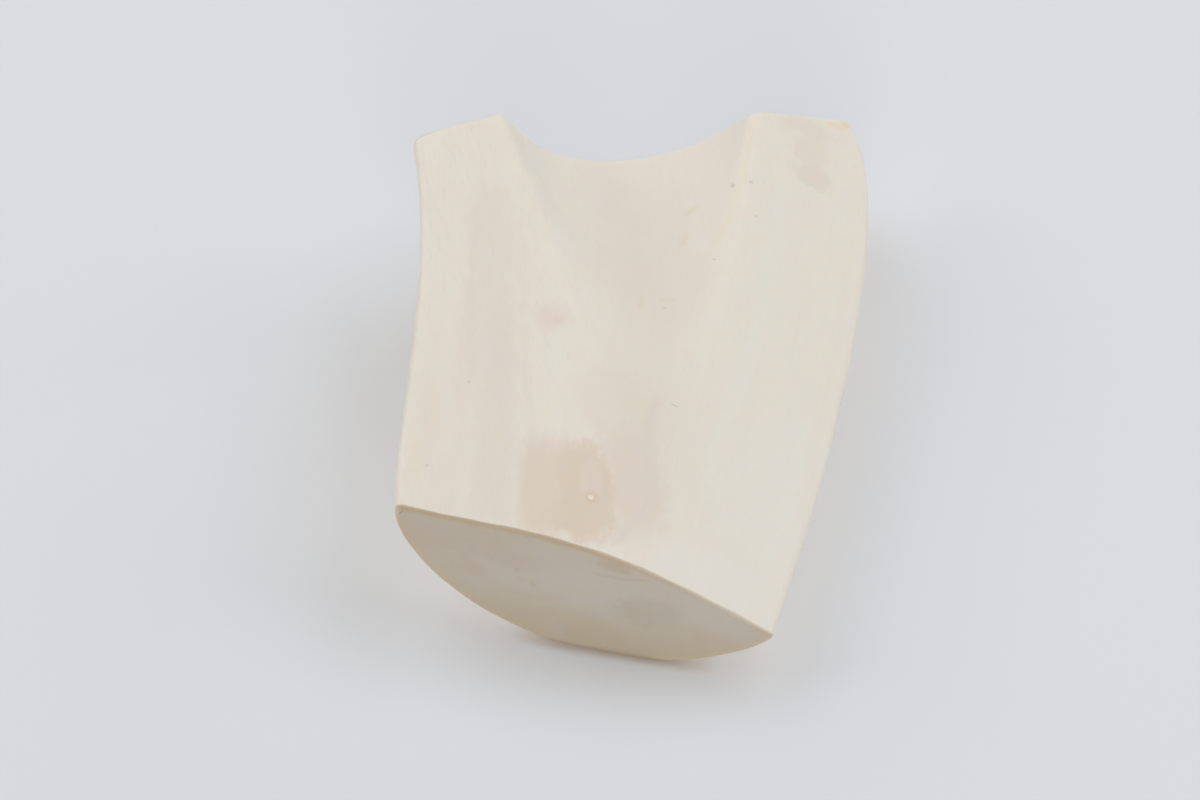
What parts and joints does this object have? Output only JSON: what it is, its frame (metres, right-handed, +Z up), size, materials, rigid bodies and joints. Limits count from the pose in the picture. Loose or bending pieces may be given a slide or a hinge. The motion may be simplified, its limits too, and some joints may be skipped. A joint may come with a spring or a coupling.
{
  "type": "mammoth ivory piece",
  "caption": "Sawn lengthwise section of mammoth tusk, solid at one end, with a trough left by the pulp cavity at the other.",
  "frame": {"origin": "centre of the bounding box, on the surface that the piece rests on", "axes": "+Y runs along the tusk from the solid end to the hollow end, +X to the right seen from the solid end, +Z up"},
  "size_m": [0.1192, 0.1572, 0.0628],
  "materials": {
    "ivory": "sawn and lightly smoothed mammoth ivory, pale cream, dull satin"
  },
  "bodies": {
    "root": {"ivory_piece": "ivory"}
  },
  "joints": []
}
